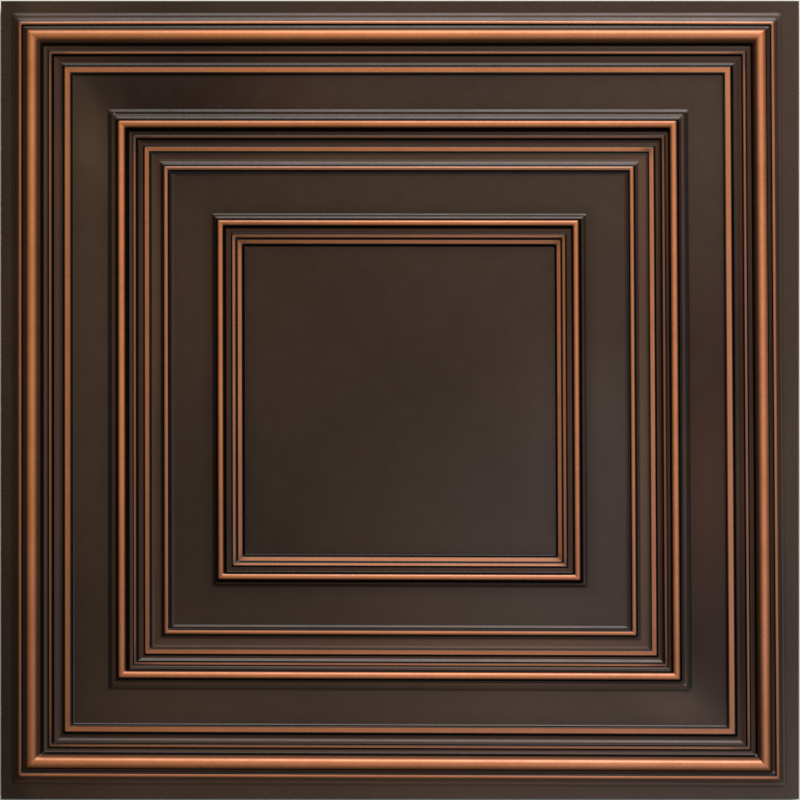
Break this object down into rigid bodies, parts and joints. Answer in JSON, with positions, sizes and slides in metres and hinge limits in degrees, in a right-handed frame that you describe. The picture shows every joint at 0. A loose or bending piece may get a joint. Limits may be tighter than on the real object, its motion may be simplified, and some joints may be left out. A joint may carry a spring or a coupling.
{
  "type": "pvc ceiling tile",
  "caption": "Square lay-in ceiling tile: one vacuum-formed PVC sheet, a shallow coffer with stepped, beaded square mouldings down to a plain centre panel, and a flat bearing border.",
  "frame": {"origin": "centre of the tile, on the back of the centre panel, its lowest face", "axes": "+Z out of the decorated face, +X and +Y along the tile's sides"},
  "size_m": [0.603, 0.603, 0.0126],
  "materials": {
    "bronzed_pvc": "satin"
  },
  "bodies": {
    "root": {"tile_sheet": "bronzed_pvc"}
  },
  "joints": []
}
